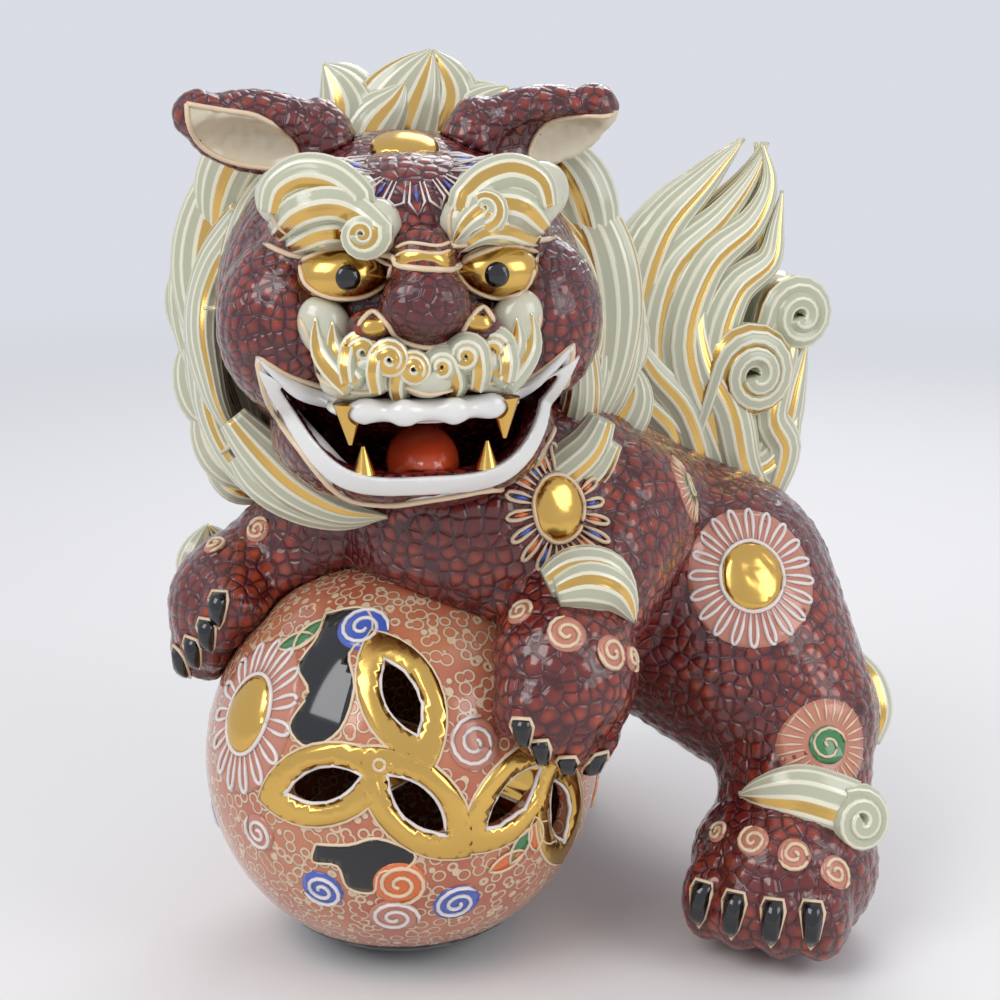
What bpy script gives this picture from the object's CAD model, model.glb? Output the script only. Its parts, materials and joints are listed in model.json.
# %% [markdown]
# A porcelain guardian lion, dressed over its construction model.
# Such a figure is slip-cast in parts that are luted together, glazed, enamelled and gilt. The
# construction model is loaded first as a fixed frame. Each casting is then copied, fused and
# smoothed, and the scales, hair, enamel lines and gilding are laid over it, because raised
# enamel follows a surface that has to be there first.

# %% Load the construction model
import json
import math

import bpy
from mathutils import Matrix, Vector
from mathutils.bvhtree import BVHTree
from mathutils.geometry import delaunay_2d_cdt, interpolate_bezier

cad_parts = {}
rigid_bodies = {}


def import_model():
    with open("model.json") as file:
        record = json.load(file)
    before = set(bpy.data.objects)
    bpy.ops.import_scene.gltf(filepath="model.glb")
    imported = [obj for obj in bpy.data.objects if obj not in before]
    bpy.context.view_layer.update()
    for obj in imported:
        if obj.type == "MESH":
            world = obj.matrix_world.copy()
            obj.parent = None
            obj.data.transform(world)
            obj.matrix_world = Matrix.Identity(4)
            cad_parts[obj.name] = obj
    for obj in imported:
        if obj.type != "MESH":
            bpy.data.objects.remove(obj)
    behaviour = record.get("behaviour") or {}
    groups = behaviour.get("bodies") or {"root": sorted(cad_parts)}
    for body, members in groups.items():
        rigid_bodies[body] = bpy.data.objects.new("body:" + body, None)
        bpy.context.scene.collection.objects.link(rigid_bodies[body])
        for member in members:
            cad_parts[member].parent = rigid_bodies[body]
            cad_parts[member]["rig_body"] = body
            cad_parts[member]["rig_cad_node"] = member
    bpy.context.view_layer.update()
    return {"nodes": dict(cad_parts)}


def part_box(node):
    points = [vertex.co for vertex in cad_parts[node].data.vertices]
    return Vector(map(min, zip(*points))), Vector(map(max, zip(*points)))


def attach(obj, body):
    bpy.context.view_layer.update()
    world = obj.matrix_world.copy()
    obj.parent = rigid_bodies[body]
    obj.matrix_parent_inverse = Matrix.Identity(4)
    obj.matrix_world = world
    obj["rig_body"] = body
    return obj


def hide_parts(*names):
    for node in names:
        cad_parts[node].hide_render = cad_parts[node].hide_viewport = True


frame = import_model()

# %% [markdown]
# Places are written in millimetres from the point under the middle of the ball, with X to the
# right, Y away from the viewer and Z up. Blender works in metres, so one helper turns such a
# place into a Blender point. The ball's own box says where the ball stands in the frame.

# %% Units and places
MM = 0.001
ball_low, ball_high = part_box("ball_shell")
ball_axis = Vector(((ball_low.x + ball_high.x) / 2, (ball_low.y + ball_high.y) / 2, 0))
ball_radius = (ball_high.x - ball_low.x) / 2
ball_middle = Vector((ball_axis.x, ball_axis.y, ball_high.z - ball_radius))


def at(x, y, z):
    """A place in millimetres from the foot of the ball, as a Blender point."""
    return ball_axis + Vector((x, y, z)) * MM


# %% [markdown]
# The camera stands where the view was taken from: in front of the ball, about 42 cm away, and
# looking down a little. A place on the lion can then be named by where it is seen in a square
# view 1000 steps wide, which is how the painted ornament is laid out on the curved castings.

# %% Camera
view_size = 1000
focal_steps = 1720
camera_place = at(24.9, -417, 208)
camera_pitch = math.radians(12.7)
bpy.ops.object.camera_add(location=camera_place, rotation=(math.pi / 2 - camera_pitch, 0, 0))
camera = bpy.context.object
camera.data.sensor_width = 36
camera.data.lens = focal_steps * camera.data.sensor_width / view_size
camera.data.clip_start = 0.01
bpy.context.scene.camera = camera
bpy.context.scene.view_settings.view_transform = "Standard"
forward = Vector((0, math.cos(camera_pitch), -math.sin(camera_pitch)))
upward = Vector((0, math.sin(camera_pitch), math.cos(camera_pitch)))
print("camera", [round(side, 3) for side in camera_place], "lens", round(camera.data.lens, 1), "mm")


def sight(across, down):
    """The direction in which a step across and down the view is seen."""
    side = (across - view_size / 2) / focal_steps
    lift = (view_size / 2 - down) / focal_steps
    return (forward + Vector((side, 0, 0)) + upward * lift).normalized()


def front(across, down, depth):
    """The point seen at a place in the view, at a depth in mm behind the ball's axis."""
    line = sight(across, down)
    return camera_place + line * ((ball_axis.y + depth * MM - camera_place.y) / line.y)


# %% [markdown]
# Every finish starts as one shader with a colour, a roughness and a clear coat, as a glaze is a
# coloured glass over clay. One helper makes it, and the patterned glazes build on it later.

# %% Plain finishes
def plain_material(name, colour, roughness, metallic=0.0, coat=0.0):
    """A material of one colour."""
    material = bpy.data.materials.new(name)
    material.use_nodes = True
    shader = material.node_tree.nodes["Principled BSDF"]
    shader.inputs["Base Color"].default_value = (*colour, 1)
    shader.inputs["Roughness"].default_value = roughness
    shader.inputs["Metallic"].default_value = metallic
    shader.inputs["Coat Weight"].default_value = coat
    shader.inputs["Coat Roughness"].default_value = 0.06
    return material


# %% [markdown]
# A pale floor carries the lion, and a pale wall stands far behind. Both get their paleness from
# their colour and not from more light on the lion. Away from the lion the floor fades into the
# wall's colour, but only for rays that look at it, so it keeps the shadow and lights nothing.

# %% Floor
wall_colour = (0.7, 0.72, 0.78, 1)
floor_size = 60
fade_start, fade_end = 0.25, 1.6


def seen_rays(tree):
    """One where a camera, glossy or transmission ray looks, and nought elsewhere."""
    path = tree.nodes.new("ShaderNodeLightPath")
    total = path.outputs["Is Camera Ray"]
    for name in ("Is Glossy Ray", "Is Transmission Ray"):
        either = tree.nodes.new("ShaderNodeMath")
        either.operation = "ADD"
        either.use_clamp = True
        tree.links.new(total, either.inputs[0])
        tree.links.new(path.outputs[name], either.inputs[1])
        total = either.outputs["Value"]
    return total


bpy.ops.object.select_all(action="DESELECT")
bpy.ops.mesh.primitive_plane_add(size=floor_size, location=(0, 0, 0))
floor = bpy.context.object
floor.name = "floor"
floor_paint = plain_material("pale_floor", (0.83, 0.82, 0.81), 0.6)
floor.data.materials.append(floor_paint)
paint = floor_paint.node_tree
spot = paint.nodes.new("ShaderNodeTexCoord")
reach = paint.nodes.new("ShaderNodeVectorMath")
reach.operation = "LENGTH"
fade = paint.nodes.new("ShaderNodeMapRange")
fade.interpolation_type = "SMOOTHSTEP"
fade.inputs["From Min"].default_value = fade_start
fade.inputs["From Max"].default_value = fade_end
both = paint.nodes.new("ShaderNodeMath")
both.operation = "MULTIPLY"
glow = paint.nodes.new("ShaderNodeEmission")
glow.inputs["Color"].default_value = wall_colour
blend = paint.nodes.new("ShaderNodeMixShader")
paint.links.new(spot.outputs["Object"], reach.inputs[0])
paint.links.new(reach.outputs["Value"], fade.inputs["Value"])
paint.links.new(fade.outputs["Result"], both.inputs[0])
paint.links.new(seen_rays(paint), both.inputs[1])
paint.links.new(both.outputs["Value"], blend.inputs[0])
paint.links.new(paint.nodes["Principled BSDF"].outputs[0], blend.inputs[1])
paint.links.new(glow.outputs[0], blend.inputs[2])
paint.links.new(blend.outputs[0], paint.nodes["Material Output"].inputs["Surface"])
print("floor", floor_size, "m, fading from", fade_start, "to", fade_end, "m")

# %% [markdown]
# The wall is the world itself, so it has no edge. Looked at, it shows the wall's colour; as a
# light, it gives a soft even glow, which fills the shadows as a bright room does.

# %% Wall
world = bpy.data.worlds.new("studio")
bpy.context.scene.world = world
world.use_nodes = True
studio = world.node_tree
studio.nodes["Background"].inputs["Color"].default_value = (0.9, 0.92, 1, 1)
studio.nodes["Background"].inputs["Strength"].default_value = 0.6
wall = studio.nodes.new("ShaderNodeBackground")
wall.inputs["Color"].default_value = wall_colour
choose = studio.nodes.new("ShaderNodeMixShader")
studio.links.new(seen_rays(studio), choose.inputs[0])
studio.links.new(studio.nodes["Background"].outputs[0], choose.inputs[1])
studio.links.new(wall.outputs[0], choose.inputs[2])
studio.links.new(choose.outputs[0], studio.nodes["World Output"].inputs["Surface"])

# %% [markdown]
# Three large soft lamps light the lion: a key from the left, a weaker fill from the right and
# one from behind. Large lamps give the broad soft highlights that show wet-looking glaze.

# %% Lamps
lamp_target = Vector((0, 0, 0.11))
lamps = (
    ("key", (-0.55, -0.6, 0.85), 0.6, 4.8),
    ("fill", (0.7, -0.45, 0.5), 0.5, 2.2),
    ("rim", (0.2, 0.8, 0.8), 0.6, 3.4),
)
for name, place, size, power in lamps:
    bpy.ops.object.light_add(type="AREA", location=place)
    lamp = bpy.context.object
    lamp.name = name + "_lamp"
    lamp.data.shape = "SQUARE"
    lamp.data.size = size
    lamp.data.energy = power
    lamp.rotation_euler = (lamp_target - Vector(place)).to_track_quat("-Z", "Y").to_euler()
    print(lamp.name, size, "m wide,", power, "W")

# %% [markdown]
# The plain glazes and enamels. Each is one colour with a thin clear coat, as on the real
# figure they are flat fields inside a trailed line. Gold is burnished metal, so it reflects
# and has no coat.

# %% Glazes of one colour
gold_colour = (0.72, 0.45, 0.12)
white_glaze = plain_material("white_glaze", (0.8, 0.79, 0.76), 0.12, coat=0.5)
cream_enamel = plain_material("cream_enamel", (0.78, 0.6, 0.4), 0.3, coat=0.3)
ivory_glaze = plain_material("ivory_glaze", (0.66, 0.58, 0.42), 0.25, coat=0.4)
black_glaze = plain_material("black_glaze", (0.004, 0.004, 0.006), 0.08, coat=0.5)
red_glaze = plain_material("red_glaze", (0.62, 0.07, 0.02), 0.12, coat=0.5)
gilding = plain_material("gilding", gold_colour, 0.2, metallic=1.0)
blue_enamel = plain_material("blue_enamel", (0.06, 0.12, 0.5), 0.2, coat=0.4)
orange_enamel = plain_material("orange_enamel", (0.75, 0.17, 0.04), 0.2, coat=0.4)
green_enamel = plain_material("green_enamel", (0.05, 0.22, 0.08), 0.2, coat=0.4)
white_enamel = plain_material("white_enamel", (0.8, 0.74, 0.7), 0.3, coat=0.3)
pink_glaze = plain_material("pink_glaze", (0.55, 0.22, 0.15), 0.2, coat=0.4)


# %% [markdown]
# Patterned glazes are built from a few nodes that recur: a mix of two colours, a ground that
# drifts to a warmer tone as fired glaze does, and a pattern of round cells. The pattern reads
# Object coordinates, so it runs on unbroken from one fused casting to the next.

# %% Nodes for patterned glazes
cell_scatter = 0.75


def node(material, kind, **values):
    """A new shader node with its socket defaults set by name."""
    made = material.node_tree.nodes.new(kind)
    for name, value in values.items():
        made.inputs[name.replace("_", " ")].default_value = value
    return made


def mixed(material, share, first, second):
    """A mix of two colours by a share; each colour is three numbers or a node's output."""
    made = node(material, "ShaderNodeMix")
    made.data_type = "RGBA"
    material.node_tree.links.new(share, made.inputs[0])
    for socket, colour in ((made.inputs[6], first), (made.inputs[7], second)):
        if isinstance(colour, tuple):
            socket.default_value = (*colour, 1)
        else:
            material.node_tree.links.new(colour, socket)
    return made.outputs[2]


def warm_ground(material, middle, warm):
    """A ground that drifts from the glaze's own colour to a warmer one over the piece."""
    links = material.node_tree.links
    where = node(material, "ShaderNodeTexCoord")
    drift = node(material, "ShaderNodeTexNoise", Scale=45.0, Detail=2.0)
    links.new(where.outputs["Object"], drift.inputs["Vector"])
    warmth = node(material, "ShaderNodeMapRange", From_Min=0.4, From_Max=0.62)
    links.new(drift.outputs["Fac"], warmth.inputs["Value"])
    return mixed(material, warmth.outputs["Result"], middle, warm)


def cell_distance(material, cell_size, feature):
    """How far a place is from its cell's middle (F1) or from its cell's edge."""
    where = node(material, "ShaderNodeTexCoord")
    cells = node(material, "ShaderNodeTexVoronoi", Scale=1 / cell_size, Randomness=cell_scatter)
    cells.feature = feature
    material.node_tree.links.new(where.outputs["Object"], cells.inputs["Vector"])
    return cells.outputs["Distance"]


def grey_ramp(material, value, *marks):
    """A ramp through greys, each mark a position and a lightness."""
    ramp = node(material, "ShaderNodeValToRGB")
    elements = ramp.color_ramp.elements
    for index, (position, lightness) in enumerate(marks):
        mark = elements[index] if index < 2 else elements.new(position)
        mark.position = position
        mark.color = (lightness, lightness, lightness, 1)
    material.node_tree.links.new(value, ramp.inputs["Fac"])
    return ramp.outputs["Color"]


def bumped(material, height, depth):
    """Roughens the material's surface by a height, as deep as the depth."""
    bump = node(material, "ShaderNodeBump", Strength=1.0, Distance=depth)
    material.node_tree.links.new(height, bump.inputs["Height"])
    shader = material.node_tree.nodes["Principled BSDF"]
    material.node_tree.links.new(bump.outputs["Normal"], shader.inputs["Normal"])


# %% [markdown]
# The lion's skin is maroon enamel over raised scales, each with a warm middle in a dark net.
# One pattern of cells gives the middle, the net and a fine dome, and the same cell size is
# used later to raise the clay, so paint and relief fall on the same scales.

# %% Scale glaze
def scaled_glaze(name, cell_size, net, middle, warm, bump_depth):
    """A glossy glaze of domed scales with warm middles in a dark net."""
    material = plain_material(name, middle, 0.16, coat=0.5)
    links = material.node_tree.links
    glow_middle = grey_ramp(material, cell_distance(material, cell_size, "F1"), (0.05, 1), (0.6, 0))
    edge = cell_distance(material, cell_size, "DISTANCE_TO_EDGE")
    off_net = node(material, "ShaderNodeMapRange", From_Min=0.02, From_Max=0.11)
    links.new(edge, off_net.inputs["Value"])
    scale = mixed(material, glow_middle, middle, warm_ground(material, middle, warm))
    colour = mixed(material, off_net.outputs["Result"], net, scale)
    links.new(colour, material.node_tree.nodes["Principled BSDF"].inputs["Base Color"])
    dome = node(material, "ShaderNodeMapRange", From_Min=0.0, From_Max=0.22)
    dome.interpolation_type = "SMOOTHSTEP"
    links.new(edge, dome.inputs["Value"])
    bumped(material, dome.outputs["Result"], bump_depth)
    print(name, "scales of", round(cell_size / MM, 1), "mm")
    return material


scale_cell = 3.5 * MM
face_cell = 2.9 * MM
scale_glaze = scaled_glaze("scale_glaze", scale_cell, (0.055, 0.005, 0.007), (0.14, 0.013, 0.011),
                           (0.42, 0.06, 0.018), 0.35 * MM)
face_glaze = scaled_glaze("face_glaze", face_cell, (0.045, 0.004, 0.008), (0.11, 0.01, 0.012),
                          (0.36, 0.045, 0.016), 0.3 * MM)

# %% [markdown]
# The ball is brick red with a cream scallop trailed round the middle of every cell. The ramp
# makes the scallop as a thin light ring at one distance from the cell's middle.

# %% Ball glaze
scallop_cell = 3.3 * MM
ball_glaze = plain_material("ball_glaze", (0.46, 0.12, 0.06), 0.16, coat=0.5)
off_scallop = grey_ramp(ball_glaze, cell_distance(ball_glaze, scallop_cell, "F1"),
                        (0.36, 1), (0.4, 0), (0.52, 0), (0.56, 1))
brick = warm_ground(ball_glaze, (0.46, 0.12, 0.06), (0.55, 0.2, 0.1))
ball_colour = mixed(ball_glaze, off_scallop, (0.72, 0.52, 0.34), brick)
ball_shader = ball_glaze.node_tree.nodes["Principled BSDF"]
ball_glaze.node_tree.links.new(ball_colour, ball_shader.inputs["Base Color"])
bumped(ball_glaze, off_scallop, -0.35 * MM)

# %% [markdown]
# The hair is pale celadon with a cream line trailed between the strands, and every few strands
# one is gilt. The lines follow each lock, so this glaze reads the lock's own map, which counts
# the strands across it: a whole number is a line, and the number itself chooses the gilt ones.

# %% Hair glaze
hair_ground = (0.5, 0.51, 0.37)
hair_line = (0.84, 0.81, 0.63)


def hair_material(name, bands, offset=1):
    """Celadon with a raised cream line at each whole step across a lock, and gilt bands."""
    material = plain_material(name, hair_ground, 0.2, coat=0.5)
    links = material.node_tree.links
    shader = material.node_tree.nodes["Principled BSDF"]
    chart = node(material, "ShaderNodeUVMap")
    chart.uv_map = "strands"
    parts = node(material, "ShaderNodeSeparateXYZ")
    links.new(chart.outputs["UV"], parts.inputs["Vector"])

    def maths(operation, first, second=0):
        """One sum; the second term is a number or a node's output."""
        made = node(material, "ShaderNodeMath")
        made.operation = operation
        links.new(first, made.inputs[0])
        if isinstance(second, (int, float)):
            made.inputs[1].default_value = second
        else:
            links.new(second, made.inputs[1])
        return made.outputs["Value"]

    across = parts.outputs["X"]
    off_middle = maths("ABSOLUTE", maths("SUBTRACT", maths("FRACT", across), 0.5))
    line = node(material, "ShaderNodeMapRange", From_Min=0.31, From_Max=0.38)
    links.new(off_middle, line.inputs["Value"])
    strand = maths("ADD", maths("FLOOR", across), offset)
    gilt = maths("LESS_THAN", maths("FRACT", maths("DIVIDE", strand, bands)), 0.5 / bands)
    ground = mixed(material, gilt, hair_ground, gold_colour)
    colour = mixed(material, line.outputs["Result"], ground, hair_line)
    links.new(colour, shader.inputs["Base Color"])
    off_line = maths("MULTIPLY", maths("SUBTRACT", line.outputs["Result"], 1), -1)
    links.new(maths("MULTIPLY", off_line, gilt), shader.inputs["Metallic"])
    return material


hair_glaze = hair_material("hair_glaze", 4)
face_hair_glaze = hair_material("face_hair_glaze", 3, 2)

# %% [markdown]
# Every piece ends the same way: it gets its glaze, its faces are shaded smooth, nothing hangs
# below the floor, and the frame is told what it is made of, what it rides on and which part
# of the construction model it stands for.

# %% Finishing a piece
def settle(piece, material, slot, *replaced):
    """The last steps of every piece: material, smooth faces above the floor, and its frame."""
    piece.data.materials.clear()
    piece.data.materials.append(material)
    for polygon in piece.data.polygons:
        polygon.use_smooth = True
    for vertex in piece.data.vertices:
        vertex.co.z = max(vertex.co.z, 0.0)
    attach(piece, "root")
    if replaced:
        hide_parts(*replaced)
    return piece


def apply_modifier(piece, kind, **settings):
    """Adds a modifier with its settings and applies it."""
    bpy.ops.object.select_all(action="DESELECT")
    piece.select_set(True)
    bpy.context.view_layer.objects.active = piece
    modifier = piece.modifiers.new(kind.lower(), kind)
    for name, value in settings.items():
        setattr(modifier, name, value)
    bpy.ops.object.modifier_apply(modifier=modifier.name)


# %% [markdown]
# Each casting is copied from the construction model, fused and evened out by a voxel remesh,
# and softened, as slip softens where pieces are luted together. A remesh suits them because
# it makes one skin of several castings, with no crease where they cross.

# %% Skins from the castings
merge_distance = 0.001 * MM


def copy_casting(node_name):
    """A free, selected copy of a casting of the construction model."""
    copied = frame["nodes"][node_name].copy()
    copied.data = copied.data.copy()
    copied.parent = None
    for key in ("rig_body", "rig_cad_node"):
        if key in copied:
            del copied[key]
    bpy.context.scene.collection.objects.link(copied)
    copied.select_set(True)
    return copied


def merge_points():
    """Joins the loose triangles of the active piece into one surface."""
    bpy.ops.object.mode_set(mode="EDIT")
    bpy.ops.mesh.select_all(action="SELECT")
    bpy.ops.mesh.remove_doubles(threshold=merge_distance)
    bpy.ops.object.mode_set(mode="OBJECT")


def split_loose():
    """Splits the active piece into its separate shells, and gives them all."""
    bpy.ops.object.mode_set(mode="EDIT")
    bpy.ops.mesh.select_all(action="SELECT")
    bpy.ops.mesh.separate(type="LOOSE")
    bpy.ops.object.mode_set(mode="OBJECT")
    return list(bpy.context.selected_objects)


def skin(name, node_names, voxel, rounds, solid=True):
    """One smooth skin over copies of the named castings; a solid one keeps its outer shell."""
    bpy.ops.object.select_all(action="DESELECT")
    copies = [copy_casting(node_name) for node_name in node_names]
    bpy.context.view_layer.objects.active = copies[0]
    if len(copies) > 1:
        bpy.ops.object.join()
    made = bpy.context.view_layer.objects.active
    merge_points()
    apply_modifier(made, "REMESH", mode="VOXEL", voxel_size=voxel * MM)
    if solid:
        shells = sorted(split_loose(), key=lambda shell: len(shell.data.vertices))
        made = shells.pop()
        for shell in shells:
            bpy.data.objects.remove(shell)
    made.name = name
    apply_modifier(made, "SMOOTH", factor=0.5, iterations=rounds)
    print(name, len(made.data.polygons), "faces")
    return made


# %% [markdown]
# The scales are low domes in the clay under the enamel. They are real relief, so that they
# show at the outline: every point moves outwards by how near it is to its cell's middle, in
# the same pattern of cells that the glaze paints.

# %% Raised scales
def raise_cells(piece, cell_size, height):
    """Raises the middle of every cell of the glaze's pattern along the surface's normal."""
    tree = bpy.data.node_groups.new("raise_cells", "GeometryNodeTree")
    tree.interface.new_socket("Geometry", in_out="INPUT", socket_type="NodeSocketGeometry")
    tree.interface.new_socket("Geometry", in_out="OUTPUT", socket_type="NodeSocketGeometry")
    start = tree.nodes.new("NodeGroupInput")
    end = tree.nodes.new("NodeGroupOutput")
    place = tree.nodes.new("GeometryNodeInputPosition")
    cells = tree.nodes.new("ShaderNodeTexVoronoi")
    cells.inputs["Scale"].default_value = 1 / cell_size
    cells.inputs["Randomness"].default_value = cell_scatter
    dome = tree.nodes.new("ShaderNodeMapRange")
    dome.inputs["From Min"].default_value = 0.7
    dome.inputs["From Max"].default_value = 0.1
    dome.inputs["To Max"].default_value = height
    out = tree.nodes.new("GeometryNodeInputNormal")
    push = tree.nodes.new("ShaderNodeVectorMath")
    push.operation = "SCALE"
    move = tree.nodes.new("GeometryNodeSetPosition")
    tree.links.new(place.outputs[0], cells.inputs["Vector"])
    tree.links.new(cells.outputs["Distance"], dome.inputs["Value"])
    tree.links.new(out.outputs[0], push.inputs[0])
    tree.links.new(dome.outputs["Result"], push.inputs["Scale"])
    tree.links.new(start.outputs[0], move.inputs["Geometry"])
    tree.links.new(push.outputs[0], move.inputs["Offset"])
    tree.links.new(move.outputs[0], end.inputs[0])
    apply_modifier(piece, "NODES", node_group=tree)


body_nodes = ("body_casting", "left_foreleg", "right_foreleg", "left_hind_leg", "right_hind_leg")
body_skin = skin("body_skin", body_nodes, voxel=1.3, rounds=14)
head_skin = skin("head_skin", ("head_casting",), voxel=1.0, rounds=6, solid=False)
left_ear_skin = skin("left_ear_skin", ("left_ear",), voxel=0.8, rounds=5)
right_ear_skin = skin("right_ear_skin", ("right_ear",), voxel=0.8, rounds=5)
scaled_skins = (
    (body_skin, scale_glaze, scale_cell, 0.5, body_nodes),
    (head_skin, face_glaze, face_cell, 0.35, ("head_casting",)),
    (left_ear_skin, face_glaze, face_cell, 0.3, ("left_ear",)),
    (right_ear_skin, face_glaze, face_cell, 0.3, ("right_ear",)),
)
for piece, glaze, cell_size, height, node_names in scaled_skins:
    raise_cells(piece, cell_size, height * MM)
    settle(piece, glaze, "body_glaze", *node_names)

# %% [markdown]
# Ornament is laid on the castings by dropping it onto them: a line from the viewer, or from
# just above the surface, is followed until it meets the skin. So a pattern is drawn flat, as
# on a stencil, and takes on the curve of the casting under it.

# %% Dropping points onto a skin
board_height = 12


def tree_of(*pieces):
    """A search tree over the faces of some pieces."""
    points = []
    faces = []
    for piece in pieces:
        first = len(points)
        points.extend(vertex.co.copy() for vertex in piece.data.vertices)
        for polygon in piece.data.polygons:
            faces.append([first + index for index in polygon.vertices])
    return BVHTree.FromPolygons(points, faces)


def seen(tree, across, down):
    """The point and normal that the camera sees at a place in the view."""
    place, normal, _, _ = tree.ray_cast(camera_place, sight(across, down))
    if place is None:
        place, normal, _, _ = tree.find_nearest(front(across, down, 0))
    return place, normal


def board(tree, place, normal, turn=0.0):
    """A drawing board lying on a skin: gives the surface point under a place on the board."""
    right = Vector((0, 0, 1)).cross(normal).normalized()
    upright = normal.cross(right).normalized()
    lean = Matrix.Rotation(math.radians(turn), 3, normal)
    right, upright = lean @ right, lean @ upright

    def lay(across, along, lift=0.0):
        start = place + (right * across + upright * along) * MM + normal * board_height * MM
        hit, out, _, _ = tree.ray_cast(start, -normal)
        if hit is None:
            hit, out, _, _ = tree.find_nearest(start - normal * board_height * MM)
        return hit + out * lift * MM

    return lay


def seen_line(tree, places, lift):
    """Points on a skin where the camera sees the places, lifted off it by some millimetres."""
    points = []
    for across, down in places:
        point, normal = seen(tree, across, down)
        points.append(point + normal * lift * MM)
    return points


def seen_board(tree, across, down, turn=0.0):
    """A drawing board where the camera sees a place of the view."""
    place, normal = seen(tree, across, down)
    return board(tree, place, normal, turn)


# %% [markdown]
# Small shapes of one colour are gathered into one mesh, since on the real figure one enamel
# is laid all over in one go. Each face brings a map, which only the hair glaze reads.

# %% Shapes gathered into one mesh
no_chart = (0.5, 0.0)


class Gathered:
    """Faces from many small shapes that become one piece."""

    def __init__(self):
        self.points = []
        self.faces = []
        self.charts = []

    def add(self, points, faces, charts=None):
        first = len(self.points)
        self.points.extend(points)
        self.faces.extend([first + index for index in face] for face in faces)
        self.charts.extend(charts or [[no_chart] * len(face) for face in faces])

    def piece(self, name, material, slot, *replaced):
        mesh = bpy.data.meshes.new(name)
        mesh.from_pydata(self.points, [], self.faces)
        layer = mesh.uv_layers.new(name="strands")
        flat = [value for chart in self.charts for value in chart]
        for loop, value in zip(layer.data, flat):
            loop.uv = value
        made = bpy.data.objects.new(name, mesh)
        bpy.context.scene.collection.objects.link(made)
        print(name, len(mesh.polygons), "faces")
        return settle(made, material, slot, *replaced)


# %% [markdown]
# Raised enamel lines are trailed from a nozzle, so here they are fine round tubes, half sunk
# in the surface and drawn out at their ends. Few points are written down, and a smooth curve
# is carried through them, as the hand would.

# %% Trailed lines
def smooth_line(points, per_span=5):
    """More points along a smooth curve through the given ones."""
    made = []
    count = len(points)
    for index in range(count - 1):
        before = points[max(index - 1, 0)]
        start = points[index]
        end = points[index + 1]
        after = points[min(index + 2, count - 1)]
        one = start + (end - before) / 6
        two = end - (after - start) / 6
        made.extend(interpolate_bezier(start, one, two, end, per_span + 1)[:-1])
    return made + [points[-1]]


def smooth_places(places, per_span=4):
    """More places along a smooth curve through flat places, as of a view or a board."""
    line = smooth_line([Vector((x, y, 0)) for x, y in places], per_span)
    return [(point.x, point.y) for point in line]


def tube(gathered, points, radius, sides=6):
    """A fine round line through the points, drawn out at its ends unless it is closed."""
    rings = []
    count = len(points)
    spare = Vector((0.3, 0.5, 0.8))
    drawn_out = 0.4
    closed = (points[0] - points[-1]).length < 0.5 * MM
    for index, point in enumerate(points):
        along = points[min(index + 1, count - 1)] - points[max(index - 1, 0)]
        first = along.cross(spare)
        if first.length < 1e-12:
            first = Vector((1, 0, 0))
        first.normalize()
        second = along.cross(first).normalized()
        size = radius * MM * (1 if closed or 0 < index < count - 1 else drawn_out)
        for side in range(sides):
            angle = 2 * math.pi * side / sides
            rings.append(point + (first * math.cos(angle) + second * math.sin(angle)) * size)
    faces = []
    for index in range(count - 1):
        for side in range(sides):
            low = index * sides + side
            beside = index * sides + (side + 1) % sides
            faces.append((low, beside, beside + sides, low + sides))
    faces.append(tuple(reversed(range(sides))))
    faces.append(tuple(range((count - 1) * sides, count * sides)))
    gathered.add(rings, faces)


def spiral(radius, turns, start=0.0):
    """Places along a spiral on a drawing board, from its rim inwards."""
    steps_per_turn = 14
    heart = 0.12
    places = []
    total = int(turns * steps_per_turn)
    for step in range(total + 1):
        share = step / total
        angle = math.radians(start) + 2 * math.pi * turns * share
        reach = radius * (1 - share * (1 - heart))
        places.append((reach * math.cos(angle), reach * math.sin(angle)))
    return places


def ring(radius_x, radius_y=None, steps=28):
    """Places round an oval on a drawing board, ending where they began."""
    radius_y = radius_y or radius_x
    angles = [2 * math.pi * step / steps for step in range(steps + 1)]
    return [(radius_x * math.cos(angle), radius_y * math.sin(angle)) for angle in angles]


# %% [markdown]
# A field of enamel is a thin raised patch with a flat outline. It is cut into triangles on the
# board first and then dropped, with its underside sunk in the skin, so it stays closed and
# hugs the curve. A hole in it is left open, as the petals over the piercings need.

# %% Raised patches
sunk = 0.8


def inside(place, outline):
    """Whether a place on a board lies inside a closed outline."""
    x, y = place
    within = False
    for (ax, ay), (bx, by) in zip(outline, outline[1:] + outline[:1]):
        if (ay > y) != (by > y) and x < (bx - ax) * (y - ay) / (by - ay) + ax:
            within = not within
    return within


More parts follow.
